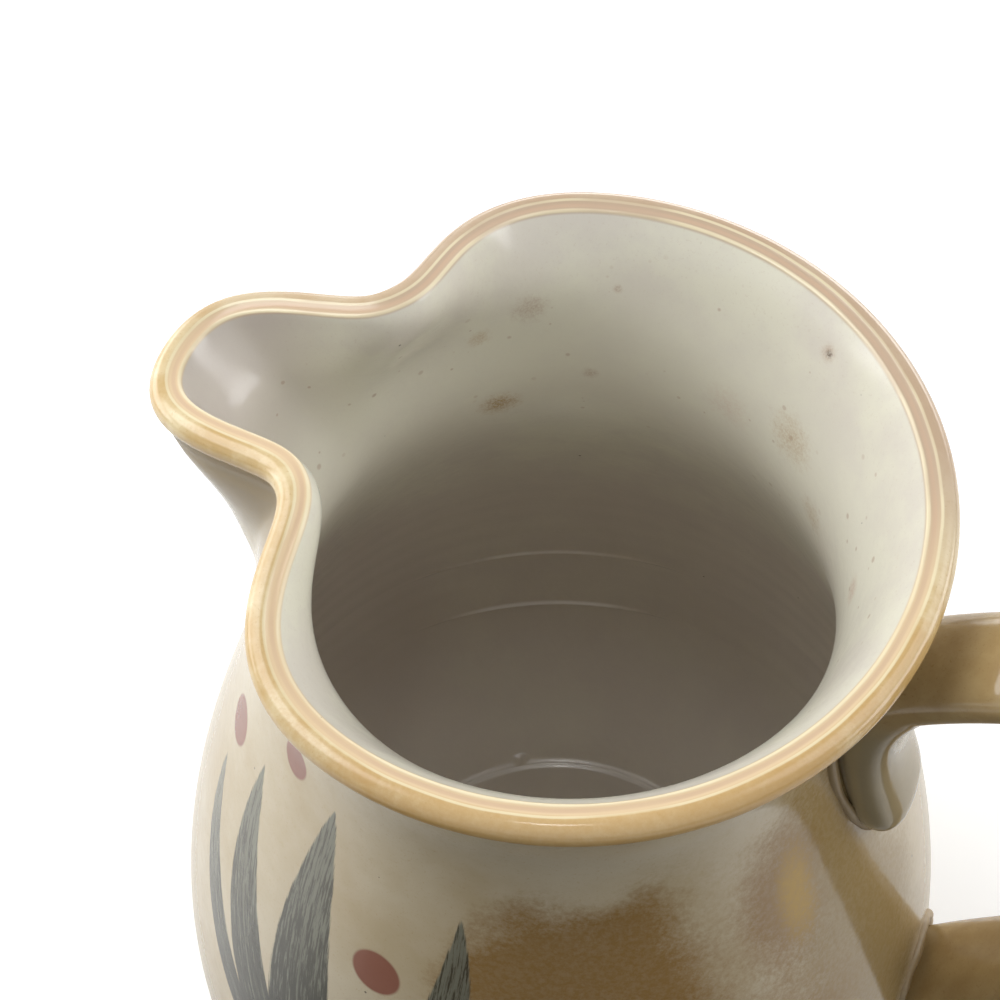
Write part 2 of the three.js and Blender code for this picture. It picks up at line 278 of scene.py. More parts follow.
# %% Throwing rings
RING_PITCH = 8.5
RING_HEIGHT = 0.06
RING_START = 50  # mm down from the lip
RING_GROWTH = 60  # mm in which the rings come up to their full height
FINGER_RIDGES = ((61.2, 0.75, 0.36), (37.4, 0.9, 0.36))  # height above the base, how proud, how wide
FINGER_TURN = -66.0  # degrees from the spout to the middle of the ridges
FINGER_SPAN = 19.0
FINGER_CLIMB = 0.012  # mm per degree
RIDGE_HEIGHT = 0.33
RIDGE_WIDTH = 0.8
DROP_AT = (-24.5, 38.2)
DROP_HEIGHT = 0.6
DROP_WIDTH = 0.95


def throwing_ring(distance, angle):
    """Height of the finger marks on the inside, in mm, at a distance down from the lip."""
    deep = np.clip((distance - RING_START) / RING_GROWTH, 0, 1)
    slow = 0.6 + 0.4 * np.sin(distance / 23 + 1.3)  # no two rings stand equally high
    turn = 2 * np.pi * distance / RING_PITCH - angle
    return RING_HEIGHT * deep * slow * (np.sin(turn) + 0.25 * np.sin(2.3 * turn + 0.5))


def finger_ridge(z, angle):
    """How far the sharp ridges stand out of the inside, in mm, at a height."""
    turn = (np.degrees(angle) - FINGER_TURN + 180) % 360 - 180
    level = z + FINGER_CLIMB * turn
    stretch = np.exp(-((turn / FINGER_SPAN) ** 4))
    return stretch * sum(proud * np.exp(-(((level - at) / wide) ** 2)) for at, proud, wide in FINGER_RIDGES)


def floor_mark(x, y):
    """The ribbed ridge round the floor and one drop of glaze beside it."""
    radius = np.hypot(x, y)
    ridge = RIDGE_HEIGHT * np.exp(-(((radius - FLOOR_RADIUS) / RIDGE_WIDTH) ** 2))
    drop = ((x - DROP_AT[0]) ** 2 + (y - DROP_AT[1]) ** 2) / DROP_WIDTH**2
    return ridge + DROP_HEIGHT * np.exp(-(drop**1.5))


print("rings stand", RING_HEIGHT, "mm high and the floor ridge", RIDGE_HEIGHT, "mm")

# %% [markdown]
# The spout is the move that takes the most skill on the wheel: two fingers pinch the lip in while a third
# draws it out between them. A sculpted mesh could show it, but a formula keeps the wall even. The pull and
# the two pinches fade with depth, and they move the middle of the wall. The thickness is then laid square
# to the bent wall, so the lip keeps its roll all the way round the spout.

# %% The pulled spout
SPOUT_DEPTH = 40.0
SPOUT_PULL = 14.1
SPOUT_DROP = 1.1
SPOUT_HALF_ANGLE = 16.5
SPOUT_SQUARENESS = 4.2
SPOUT_FULLNESS = 1.1
PINCH_DEPTH = 15.1
PINCH_RISE = 5.2
PINCH_ANGLE = 30.0
PINCH_SPREAD = 21.4
PINCH_TAPER = 4.0
PINCH_WIDENING = 45.0
FILL_DEPTH = 1.7
FILL_TOP = 188.3
FILL_DROP = 17.3
FILL_HALF_ANGLE = 42.0
FILL_PEAK = 6.75  # brings the top of share**2 * (1 - share) to 1


def eased(share):
    """A share between 0 and 1 with a soft start and a soft end."""
    share = np.clip(share, 0, 1)
    return share * share * (3 - 2 * share)


def spout_move(angle, z):
    """How far out and up the middle of the wall moves, at an angle from the spout and a height."""
    depth = eased((z - RIM_HEIGHT + SPOUT_DEPTH) / SPOUT_DEPTH)
    turn = np.degrees(angle)
    reach = PINCH_SPREAD + PINCH_WIDENING * (1 - depth)
    drawn = np.exp(-(np.abs(turn / SPOUT_HALF_ANGLE) ** SPOUT_SQUARENESS))
    pull = drawn * depth**SPOUT_FULLNESS
    bumps = sum(np.exp(-(((turn - side * PINCH_ANGLE) / reach) ** 2)) for side in (1, -1))
    pinch = bumps * depth**PINCH_TAPER
    return SPOUT_PULL * pull - PINCH_DEPTH * pinch, PINCH_RISE * pinch - SPOUT_DROP * pull


def spout_fill(angle, z):
    """How far the hollow under the lip is filled out round the spout, in mm."""
    round_spout = np.exp(-((np.degrees(angle) / FILL_HALF_ANGLE) ** 4))
    share = np.clip(1 - (FILL_TOP - z) / FILL_DROP, 0, 1)
    return FILL_DEPTH * round_spout * FILL_PEAK * share**2 * (1 - share)


print("the spout stands", SPOUT_PULL, "mm out of the lip")

# %% [markdown]
# Now the line is turned. Rings of points are joined by quads, and the middles of the base and of the floor
# are closed by fans. The steps round the axis crowd together at the spout, where the wall bends most.

# %% The thrown body
TURNS = 280
TURN_CROWDING = 0.4
FLOOR_ZONE = 12  # mm above the base: the rings end there and the marks of the floor start


def mesh_piece(name, points, faces, node):
    """A smooth mesh in the frame's own place that stands for a CAD node."""
    mesh = bpy.data.meshes.new(name)
    mesh.from_pydata((np.asarray(points) * MM).tolist(), [], faces)
    mesh.validate()
    mesh.shade_smooth()
    piece = standing(name, mesh)
    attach(piece, "root")
    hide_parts(node)
    return piece


def turned_points():
    even = np.linspace(-np.pi, np.pi, TURNS, endpoint=False)
    angle = (even - TURN_CROWDING * np.sin(even))[None, :]
    middle_r, middle_z, offset_r, offset_z = (line[:, k][:, None] for k in range(4))
    out, up = spout_move(angle, middle_z)
    small = 0.001
    slope = (spout_move(angle + small, middle_z)[0] - spout_move(angle - small, middle_z)[0]) / (2 * small)
    inside = over_lip[:, None] > 0
    offset_r = offset_r + np.where(offset_r > 0, spout_fill(angle, middle_z), 0)
    fade = np.clip((middle_z - FLOOR_ZONE) / FLOOR_ZONE, 0, 1)
    rings = fade * throwing_ring(over_lip[:, None], angle) - finger_ridge(middle_z + offset_z, angle)
    radius = middle_r + out
    size = np.hypot(radius, slope)
    outward = radius + offset_r * radius / size + np.where(inside, rings, 0)
    sideways = -offset_r * slope / size
    heading = angle + np.pi
    x = outward * np.cos(heading) - sideways * np.sin(heading)
    y = outward * np.sin(heading) + sideways * np.cos(heading)
    z = middle_z + offset_z + up
    low_inside = inside & (z < FLOOR_ZONE)
    return np.stack([x, y, z + np.where(low_inside, floor_mark(x, y), 0)], 2)


def turned_faces(rings, count):
    """Quads between neighbouring rings, and a fan at each end to the two points added last."""
    here = np.arange(count)
    after = np.roll(here, -1)
    faces = []
    for ring in range(rings - 1):
        a = ring * count
        b = a + count
        faces += np.stack([a + here, a + after, b + after, b + here], 1).tolist()
    last = (rings - 1) * count
    middles = rings * count
    faces += [(middles, j, i) for i, j in zip(here.tolist(), after.tolist())]
    faces += [(middles + 1, last + i, last + j) for i, j in zip(here.tolist(), after.tolist())]
    return faces


grid = turned_points()
body_points = np.vstack([grid.reshape(-1, 3), (0, 0, 0), (0, 0, FLOOR)])
body_faces = turned_faces(len(line), TURNS)
body = mesh_piece("thrown_body_glazed", body_points, body_faces, "thrown_body")
side_mark = body.data.attributes.new("over_lip", "FLOAT", "POINT")
side_mark.data.foreach_set("value", np.append(np.repeat(over_lip, TURNS), (over_lip[0], over_lip[-1])))
print("thrown body has", len(body.data.vertices), "points")

# %% [markdown]
# The handle is a strap of clay, pulled thin by wet fingers. It leaves the neck, crests beside the lip and
# comes back to the belly; its upper end is pressed down the neck as a tongue. Both are skins over rings
# of points. A voxel remesh then melts the two skins into one, and a little smoothing rounds the corner
# between them, as a wet finger does.

# %% The line of the strap
STRAP_WIDTH = 18.5
STRAP_THICKNESS = 9.5
STRAP_ROUNDNESS = 2.4
STRAP_REACH = 120.7
GRIP_HEIGHT = 148.0
UPPER_JOINT = 161.5
LOWER_JOINT = 58.5
UPPER_RISE = math.radians(52)
LOWER_RISE = math.radians(62)
UPPER_LEAD, CREST_LEAD = 40, 58  # how long the curve holds its direction at each end
GRIP_LEAD, LOWER_LEAD = 38, 44
UPPER_ROOT, LOWER_ROOT = 6, 16  # how far the ends run on into the wall
LOWER_FLARE = 1.5
FLARE_START = 0.75  # share of the strap's length
STRAP_STEPS = 200
SECTION_STEPS = 48


def outer_radius(z):
    """Radius of the plain outside at heights above the belly."""
    return np.interp(z, wall_places[:, 1], wall_places[:, 0])


def strap_line():
    upper = np.array((outer_radius(UPPER_JOINT), UPPER_JOINT))
    lower = np.array((outer_radius(LOWER_JOINT), LOWER_JOINT))
    rising = np.array((math.cos(UPPER_RISE), math.sin(UPPER_RISE)))
    climbing = np.array((math.cos(LOWER_RISE), math.sin(LOWER_RISE)))
    grip = np.array((STRAP_REACH, GRIP_HEIGHT))
    t = np.linspace(0, 1, STRAP_STEPS)
    crest = bezier((upper, upper + UPPER_LEAD * rising, grip + (0, CREST_LEAD), grip), t)[0]
    back = bezier((grip, grip - (0, GRIP_LEAD), lower + LOWER_LEAD * climbing, lower), t)[0]
    rough = np.vstack([upper - UPPER_ROOT * rising, crest, back[1:], lower - LOWER_ROOT * climbing])
    run = walked(rough)
    even = np.linspace(0, run[-1], STRAP_STEPS)
    return sampled(even, run, rough), even / run[-1]


strap_places, strap_shares = strap_line()
print("the strap runs", round(walked(strap_places)[-1]), "mm")

# %% [markdown]
# Each ring is a rounded oblong. The strap's rings stand square to its line and swell a little at the lower
# end, where the potter pressed it on. The tongue's rings lie level, one above another, and close to a
# round tip.

# %% Strap and tongue skins
TONGUE_WIDTH = 19.0
TONGUE_THICKNESS = 7.5
TONGUE_LENGTH = 35.5
TONGUE_ROOT = 3.0
BEND_BOTTOM = UPPER_JOINT - 20.0
BEND_TOP = UPPER_JOINT + 6.5
BEND_REACH = 5.0
TIP_STEPS = 26
TIP_TURN = (86, 3)  # degrees: from an almost closed ring at the tip to an almost full one
RUN_STEPS = 60


def oblong(centre, across, half_width, half_depth):
    angle = np.linspace(0, 2 * np.pi, SECTION_STEPS, endpoint=False)

    def bulge(v):
        return np.sign(v) * np.abs(v) ** (2 / STRAP_ROUNDNESS)

    ring = np.zeros((SECTION_STEPS, 3))
    ring[:, 1] = bulge(np.cos(angle)) * half_width
    return ring + np.asarray(centre) + bulge(np.sin(angle))[:, None] * half_depth * np.asarray(across)


def strap_rings():
    along = units(np.gradient(strap_places, axis=0))
    swell = LOWER_FLARE * eased((strap_shares - FLARE_START) / (1 - FLARE_START))
    return [
        oblong((x, 0, z), (-dz, 0, dx), STRAP_WIDTH / 2 + s, STRAP_THICKNESS / 2 + s)
        for (x, z), (dx, dz), s in zip(strap_places, along, swell)
    ]


def tongue_ring(z, share):
    bend = max(0.0, (z - BEND_BOTTOM) / (BEND_TOP - BEND_BOTTOM))
    proud = (TONGUE_THICKNESS + BEND_REACH * bend**2) * share
    half_depth = (proud + TONGUE_ROOT) / 2
    centre = (outer_radius(z) + proud - half_depth, 0, z)
    return oblong(centre, (-1, 0, 0), TONGUE_WIDTH / 2 * share, half_depth)


def tongue_rings():
    half = TONGUE_WIDTH / 2
    tip_top = UPPER_JOINT - TONGUE_LENGTH + half
    turns = np.radians(np.linspace(*TIP_TURN, TIP_STEPS))
    tip = [tongue_ring(tip_top - half * math.sin(turn), math.cos(turn)) for turn in turns]
    return tip + [tongue_ring(z, 1) for z in np.linspace(tip_top, BEND_TOP, RUN_STEPS)]


def skin(rings):
    """Points and faces of a closed skin over rings."""
    points = np.vstack([*rings, rings[0].mean(0), rings[-1].mean(0)])
    return points, turned_faces(len(rings), len(rings[0]))


strap_skin = skin(strap_rings())
tongue_skin = skin(tongue_rings())
print("strap skin", len(strap_skin[0]), "points, tongue skin", len(tongue_skin[0]), "points")

# %% [markdown]
# The two skins become one object. After the remesh, each point that would lie deep in the jug's wall is
# drawn back to just under the surface, so the root of the handle never shows on the inside.

# %% The strap handle
VOXEL = 0.7
SMOOTH_TURNS = 14
SMOOTH_FACTOR = 0.5
ROOT_DEPTH = 1.4


def melted(piece):
    """Remeshes and smooths a piece, and leaves plain mesh data."""
    remesh = piece.modifiers.new("melt", "REMESH")
    remesh.mode = "VOXEL"
    remesh.voxel_size = VOXEL * MM
    smooth = piece.modifiers.new("wet finger", "SMOOTH")
    smooth.factor = SMOOTH_FACTOR
    smooth.iterations = SMOOTH_TURNS
    settled = piece.evaluated_get(bpy.context.evaluated_depsgraph_get())
    points = np.empty(len(settled.data.vertices) * 3, np.float32)
    settled.data.vertices.foreach_get("co", points)
    faces = [list(face.vertices) for face in settled.data.polygons]
    bpy.data.objects.remove(piece)
    return points.reshape(-1, 3).astype(float) / MM, faces


def drawn_back(points):
    """Moves points out of the jug's wall, up to a shallow root."""
    radius = np.hypot(points[:, 0], points[:, 1])
    least = outer_radius(points[:, 2]) - ROOT_DEPTH
    grow = np.maximum(1, least / np.maximum(radius, 1))
    return points * np.stack([grow, grow, np.ones_like(grow)], 1)


blank_mesh = bpy.data.meshes.new("handle_blank")
joined = np.vstack([strap_skin[0], tongue_skin[0]]) * MM
shift = len(strap_skin[0])
blank_faces = strap_skin[1] + [[i + shift for i in face] for face in tongue_skin[1]]
blank_mesh.from_pydata(joined.tolist(), [], blank_faces)
handle_points, handle_faces = melted(standing("handle_blank", blank_mesh))
handle_points = drawn_back(handle_points)
handle = mesh_piece("strap_handle_glazed", handle_points, handle_faces, "strap_handle")
print("strap handle has", len(handle.data.vertices), "points")

# %% [markdown]
# Slip is runny clay, the glue between body and handle. What is squeezed out dries as a small ridge round
# the joint. Each ridge is a thin tube laid on the wall along the outline of the joint, a little uneven in
# thickness, with one blob where it ran together. A curve with a bevel would be quicker, but it has one
# even thickness.

# %% The joining slip
BEAD_RADIUS = 1.0
BEAD_CLEARANCE = 0.9
BEAD_STEPS = 220
BEAD_SIDES = 14
BEAD_ROUNDNESS = 0.75
BLOB_GROWTH = 0.55
BLOB_SPAN = 0.025
LOWER_HALF = STRAP_WIDTH / 2 + LOWER_FLARE
BEADS = (
    # piece, half width, bottom and top of the joint, share of the way round to the blob, slot, CAD node
    ("upper_slip_bead", (TONGUE_WIDTH / 2, 126.0, 174.0), 0.30, "upper_slip_glaze", "upper_joint_bead"),
    ("lower_slip_bead", (LOWER_HALF, 46.0, 71.5), 0.62, "lower_slip_glaze", "lower_joint_bead"),
)


def joint_outline(half_width, bottom, top):
    """A closed outline with straight sides and round ends, as distances across and heights."""
    radius = half_width + BEAD_CLEARANCE
    angle = np.linspace(0, 2 * np.pi, BEAD_STEPS, endpoint=False)
    across = radius * np.sign(np.cos(angle)) * np.abs(np.cos(angle)) ** BEAD_ROUNDNESS
    half = (top - bottom) / 2 + BEAD_CLEARANCE
    height = (top + bottom) / 2 + half * np.sin(angle)
    return across, height


def bead_points(across, height, blob):
    x = np.sqrt(np.maximum(outer_radius(height) ** 2 - across**2, 1))
    centre = np.stack([x, across, height], 1)
    along = units(np.roll(centre, -1, 0) - np.roll(centre, 1, 0))
    outward = np.stack([x, across, 0 * x], 1)
    outward = units(outward - (outward * along).sum(1, keepdims=True) * along)
    side = np.cross(along, outward)
    share = np.arange(BEAD_STEPS) / BEAD_STEPS
    # two waves with no common length, so that the bead looks squeezed out by hand
    uneven = 1 + 0.16 * np.sin(share * 31) + 0.1 * np.sin(share * 75 + 1)
    away = (share - blob + 0.5) % 1 - 0.5
    radius = BEAD_RADIUS * (uneven + BLOB_GROWTH * np.exp(-((away / BLOB_SPAN) ** 2)))
    turn = np.linspace(0, 2 * np.pi, BEAD_SIDES, endpoint=False)
    rim = np.cos(turn)[None, :, None] * outward[:, None] + np.sin(turn)[None, :, None] * side[:, None]
    return (centre[:, None] + radius[:, None, None] * rim).reshape(-1, 3)


def bead_faces():
    faces = []
    for i in range(BEAD_STEPS):
        a = i * BEAD_SIDES
        b = (i + 1) % BEAD_STEPS * BEAD_SIDES
        for j in range(BEAD_SIDES):
            k = (j + 1) % BEAD_SIDES
            faces.append((a + j, a + k, b + k, b + j))
    return faces


beads = [
    mesh_piece(piece, bead_points(*joint_outline(*joint), blob), bead_faces(), node)
    for piece, joint, blob, slot, node in BEADS
]
print("slip beads are", 2 * BEAD_RADIUS, "mm thick")

# %% [markdown]
# Materials are built from nodes. Small helpers keep the node code short. One puts a node into a tree and
# fills its sockets with values or links. The others make the nodes that come up most: sums and products,
# ramps, smooth steps, a mix of two colours, a noise, and a node group with its inputs filled in order.

# %% Node helpers
SOCKET_KINDS = {1: "NodeSocketFloat", 3: "NodeSocketVector", 4: "NodeSocketColor"}


def put(tree, kind, values=None, **settings):
    made = tree.nodes.new("ShaderNode" + kind)
    for name, value in settings.items():
        setattr(made, name, value)
    for name, value in (values or {}).items():
        if isinstance(value, bpy.types.NodeSocket):
            tree.links.new(value, made.inputs[name])
        else:
            made.inputs[name].default_value = value
    return made


def maths(tree, operation, first, second=0.0):
    return put(tree, "Math", {0: first, 1: second}, operation=operation).outputs["Value"]


def times(tree, first, *others):
    for other in others:
        first = maths(tree, "MULTIPLY", first, other)
    return first


def plus(tree, first, *others):
    for other in others:
        first = maths(tree, "ADD", first, other)
    return first


def less(tree, first, second):
    return maths(tree, "SUBTRACT", first, second)


def ramp(tree, value, low, high, to_low=0.0, to_high=1.0, kind="LINEAR"):
    """A value led from one range to another, and held at both ends."""
    sockets = {"Value": value, "From Min": low, "From Max": high, "To Min": to_low, "To Max": to_high}
    return put(tree, "MapRange", sockets, interpolation_type=kind).outputs["Result"]


def smooth_step(tree, value, low, high):
    """From 0 at low to 1 at high; low may be the larger one, and the step then falls."""
    return ramp(tree, value, low, high, kind="SMOOTHSTEP")


def within(tree, value, rise, fall):
    """A mask that rises over one range of a value and falls over another."""
    return times(tree, smooth_step(tree, value, *rise), smooth_step(tree, value, *fall))


def mix(tree, share, first, second):
    """Sockets 6 and 7 of a Mix node are its two colours, and output 2 is the mixed colour."""
    return put(tree, "Mix", {0: share, 6: first, 7: second}, data_type="RGBA").outputs[2]


def tinted(tree, colour, value, layer, tint):
    """A tint over a colour, from the value where it starts to the value where it is full."""
    start, full, strength = layer
    return mix(tree, times(tree, smooth_step(tree, value, start, full), strength), colour, tint)


def noise(tree, place, scale, detail, roughness=0.5):
    values = {"Vector": place, "Scale": scale, "Detail": detail, "Roughness": roughness}
    return put(tree, "TexNoise", values).outputs["Fac"]


def millimetres(tree):
    """The place on the object, in mm."""
    place = put(tree, "TexCoord").outputs["Object"]
    return put(tree, "VectorMath", {0: place, "Scale": 1 / MM}, operation="SCALE").outputs["Vector"]


def new_group(name, inputs, outputs):
    """A shader node group. The kind of an input follows from its value; an output is a value or a colour."""
    group = bpy.data.node_groups.new(name, "ShaderNodeTree")
    for label, value in inputs.items():
        kind = SOCKET_KINDS[np.size(value)]
        group.interface.new_socket(label, in_out="INPUT", socket_type=kind).default_value = value
    for label in outputs:
        kind = "NodeSocketColor" if label == "Colour" else "NodeSocketFloat"
        group.interface.new_socket(label, in_out="OUTPUT", socket_type=kind)
    return group, group.nodes.new("NodeGroupInput").outputs, group.nodes.new("NodeGroupOutput").inputs


def placed(tree, group, *values):
    """The outputs of a node group that is placed in a tree, with its inputs filled in order."""
    return put(tree, "Group", dict(enumerate(values)), node_tree=group).outputs


print("node helpers are ready")

# %% [markdown]
# A glaze is never one colour. It pools thick and dark, breaks thin and pale, and carries fine iron flecks.
# All the glazed pieces share this, so it is one node group: two noises choose between a thick and a thin
# colour and lay the flecks over them.

# %% Mottled glaze group
def mottled_glaze_group():
    group, given, wanted = new_group("Mottled glaze", {
        "Thick": (0.3, 0.2, 0.08, 1), "Thin": (0.5, 0.4, 0.2, 1), "Fleck": (0.2, 0.1, 0.04, 1),
        "Cloud Scale": 0.04, "Fleck Share": 0.5,
    }, ["Colour"])
    place = millimetres(group)
    clouds = noise(group, place, scale=given["Cloud Scale"], detail=5.0, roughness=0.62)
    base = mix(group, smooth_step(group, clouds, 0.36, 0.66), given["Thick"], given["Thin"])
    grain = noise(group, place, scale=2.0, detail=3.0, roughness=0.7)
    fleck = times(group, smooth_step(group, grain, 0.56, 0.74), given["Fleck Share"])
    group.links.new(mix(group, fleck, base, given["Fleck"]), wanted["Colour"])
    return group


mottled_glaze = mottled_glaze_group()
print("group", mottled_glaze.name)

# %% [markdown]
# Fired glaze has a skin like orange peel, and here and there a pinhole or an iron speck. The peel and the
# pinholes are too small for the mesh, so they go into a height for a Bump node. The specks also darken
# the colour, so the group puts out their mask.

# %% Glaze skin group
SMALLEST_SPECK = 0.015  # of a cell's width
SPECK_CORE = 0.5  # share of a speck's radius that is full
PIT_DEPTH = 0.15


def glaze_skin_group():
    group, given, wanted = new_group("Glaze skin", {
        "Speck Share": 0.25, "Speck Size": 0.05, "Speck Scale": 0.17, "Peel": 0.1,
    }, ["Height", "Specks"])
    place = millimetres(group)
    cells = put(group, "TexVoronoi", {"Vector": place, "Scale": given["Speck Scale"]}).outputs
    chance = put(group, "SeparateColor", {"Color": cells["Color"]}).outputs
    size = plus(group, times(group, chance["Green"], given["Speck Size"]), SMALLEST_SPECK)
    round_spot = smooth_step(group, cells["Distance"], size, times(group, size, SPECK_CORE))
    specks = times(group, round_spot, maths(group, "LESS_THAN", chance["Red"], given["Speck Share"]))
    peel = times(group, noise(group, place, scale=0.45, detail=2.0), given["Peel"])
    group.links.new(less(group, peel, times(group, specks, PIT_DEPTH)), wanted["Height"])
    group.links.new(specks, wanted["Specks"])
    return group


glaze_skin = glaze_skin_group()
print("group", glaze_skin.name)

# %% [markdown]
# Inside the mouth, iron in the clay has bled through the white liner as small rust stains. Each stain is a
# soft ball round a place on the wall, broken up by noise. One group draws a stain, and the body's material
# places it where each one is. Finer freckles come from the speck group, used again with larger specks.

# %% Rust stain group
STAIN_RAGGEDNESS = 2.2


def rust_stain_group():
    inputs = {"Place": (0, 0, 0), "Radius": 3.0, "Break Up": 0.8}
    group, given, wanted = new_group("Rust stain", inputs, ["Mask"])
    place = millimetres(group)
    away = put(group, "VectorMath", {0: place, 1: given["Place"]}, operation="DISTANCE").outputs["Value"]
    near = maths(group, "DIVIDE", away, given["Radius"])
    bleeding = noise(group, place, scale=0.8, detail=5.0, roughness=0.75)
    broken = times(group, less(group, bleeding, 0.5), given["Break Up"], STAIN_RAGGEDNESS)
    soft = smooth_step(group, plus(group, near, broken), 1.3, 0.1)
    grain = noise(group, place, scale=2.4, detail=2.0, roughness=0.7)
    group.links.new(times(group, soft, ramp(group, grain, 0.38, 0.62, to_low=0.35)), wanted["Mask"])
    return group


rust_stain = rust_stain_group()
print("group", rust_stain.name)

# %% [markdown]
# Iron wash was sprayed over the cream glaze in soft brown clouds, which are grainy at their edges, as any
# spray is. A cloud is a rounded oblong in distances round the jug and up it. Fine noise breaks up its edge,
# and broad noise bends its outline. A painted picture could do it too, but the group can be moved by numbers.

# %% Sprayed cloud group
CLOUD_SQUARENESS = 2.3
CLOUD_GRAIN = 1.6
CLOUD_DRIFT = 0.9


def sprayed_cloud_group():
    group, given, wanted = new_group("Sprayed cloud", {
        "Around": 0.0, "Height": 0.0, "Middle Around": 0.0, "Middle Height": 100.0,
        "Half Width": 10.0, "Half Height": 10.0, "Softness": 0.4,
    }, ["Mask"])
    place = millimetres(group)
    powers = []
    for way, half in (("Around", "Half Width"), ("Height", "Half Height")):
        off = maths(group, "DIVIDE", less(group, given[way], given["Middle " + way]), given[half])
        powers.append(maths(group, "POWER", maths(group, "ABSOLUTE", off), CLOUD_SQUARENESS))
    away = maths(group, "POWER", plus(group, *powers), 1 / CLOUD_SQUARENESS)
    grain = noise(group, place, scale=0.9, detail=4.0, roughness=0.75)
    drift = noise(group, place, scale=0.06, detail=3.0)
    fine = times(group, less(group, grain, 0.5), given["Softness"], CLOUD_GRAIN)
    broad = times(group, less(group, drift, 0.5), CLOUD_DRIFT)
    inner, outer = less(group, 1.0, given["Softness"]), plus(group, 1.0, given["Softness"])
    misted = smooth_step(group, plus(group, away, fine, broad), outer, inner)
    group.links.new(times(group, misted, ramp(group, grain, 0.62, 0.4, to_low=0.82)), wanted["Mask"])
    return group


sprayed_cloud = sprayed_cloud_group()
print("group", sprayed_cloud.name)

# %% [markdown]
# The belly carries a little brushwork in grey-green pigment: a tuft of plain grass blades. A blade is one
# stroke, wide in the middle and pointed at the tip. Distances round the jug and up it are enough to say
# how far a point lies from the middle of a stroke, so the group draws the stroke without any picture,
# and a stretched noise lets the dry brush leave streaks.

# %% Brushed blade group
BLADE_SWELL = 1.9
BLADE_RAGGEDNESS = 1.4
STREAK_STRETCH = 0.05  # streaks are this much shorter up the blade in the noise, so longer on the jug
STROKE_END = 0.01  # share of a blade's length over which its ends fade
RIB_TIP, RIB_GROWTH, RIB_CORE = 0.12, 0.3, 0.1  # mm to each side of the middle


def brushed_blade_group():
    group, given, wanted = new_group("Brushed blade", {
        "Around": 0.0, "Height": 0.0, "Root": 0.0, "Tip": 10.0, "Root Height": 80.0, "Tip Height": 140.0,
        "Bow": 4.0, "Half Width": 4.0,
    }, ["Mask", "Streaks", "Rib"])
    rise = less(group, given["Height"], given["Root Height"])
    length = less(group, given["Tip Height"], given["Root Height"])
    share = put(group, "Clamp", {"Value": maths(group, "DIVIDE", rise, length)}).outputs["Result"]
    rest = less(group, 1.0, share)
    lean = times(group, less(group, given["Tip"], given["Root"]), share)
    bow = times(group, given["Bow"], 4.0, share, rest)
    off = less(group, given["Around"], plus(group, given["Root"], lean, bow))
    aside = maths(group, "ABSOLUTE", off)
    belly = times(group, maths(group, "POWER", share, 0.5), maths(group, "POWER", rest, 0.8))
    width = times(group, given["Half Width"], BLADE_SWELL, belly)
    stretched = put(group, "CombineXYZ", {"X": off, "Y": times(group, given["Height"], STREAK_STRETCH)})
    brush = noise(group, stretched.outputs["Vector"], scale=1.9, detail=4.0, roughness=0.75)
    ragged = times(group, less(group, brush, 0.5), BLADE_RAGGEDNESS)
    inside = smooth_step(group, less(group, plus(group, width, ragged), aside), 0.0, 0.5)
    ends = [smooth_step(group, end, 0.0, STROKE_END) for end in (share, rest)]
    group.links.new(times(group, inside, *ends), wanted["Mask"])
    dry = ramp(group, share, 0.3, 1.0, 0.36, 0.56)
    group.links.new(smooth_step(group, less(group, brush, dry), -0.04, 0.08), wanted["Streaks"])
    rib = plus(group, RIB_TIP, times(group, rest, RIB_GROWTH))
    group.links.new(smooth_step(group, aside, rib, RIB_CORE), wanted["Rib"])
    return group


brushed_blade = brushed_blade_group()
print("group", brushed_blade.name)

# %% [markdown]
# The body's own material puts these together. Its colours are kept in tables, so that each can be found
# and changed. The roll of the lip is honey, the wall below it cream with iron clouds, the inside white.

# %% Colours of the body
CREAM_THICK = (0.52, 0.42, 0.26, 1)
CREAM_THIN = (0.62, 0.54, 0.39, 1)
CREAM_FLECK = (0.46, 0.31, 0.17, 1)
# painted shade: the cream wall under the overhanging rim, darkened
CREAM_UNDER_RIM_SHADE = (0.28, 0.235, 0.16, 1)
IRON_BROWN = (0.3, 0.172, 0.052, 1)
IRON_TAN = (0.37, 0.262, 0.112, 1)
IRON_GOLD = (0.5, 0.31, 0.05, 1)
# tan glaze darkened by a painted dark reflection of the handle, for the band beside it
HANDLE_REFLECTION_BROWN = (0.325, 0.225, 0.085, 1)
LIP_THICK = (0.62, 0.42, 0.17, 1)
LIP_THIN = (0.82, 0.69, 0.42, 1)
LIP_FLECK = (0.5, 0.3, 0.1, 1)
LIP_BROWN = (0.48, 0.3, 0.1, 1)
LIP_HONEY = (0.6, 0.365, 0.125, 1)
LIP_PEACH = (0.78, 0.59, 0.36, 1)
LIP_ROSE = (0.66, 0.45, 0.3, 1)
LIP_MAUVE = (0.5, 0.365, 0.27, 1)
# pale glaze break on the lip's edges, partly a painted highlight
LIP_CREAM_AND_HIGHLIGHT = (0.92, 0.83, 0.56, 1)
LINER_WHITE = (0.86, 0.835, 0.7, 1)
LINER_GREY = (0.78, 0.735, 0.65, 1)
LINER_FLECK = (0.64, 0.55, 0.43, 1)
# painted light: the liner made paler in the throat, where light falls in through the mouth
LINER_PAINTED_LIGHT = (0.95, 0.925, 0.8, 1)
LINER_DEEP = (0.74, 0.665, 0.6, 1)
LINER_MAUVE = (0.58, 0.51, 0.47, 1)
IRON_BLACK = (0.06, 0.04, 0.03, 1)
OCHRE = (0.53, 0.34, 0.13, 1)
RUST = (0.42, 0.24, 0.13, 1)
BLUSH = (0.7, 0.46, 0.35, 1)
PIGMENT_DARK = (0.028, 0.032, 0.026, 1)
PIGMENT_PALE = (0.17, 0.18, 0.14, 1)
DOT_RED = (0.27, 0.09, 0.06, 1)

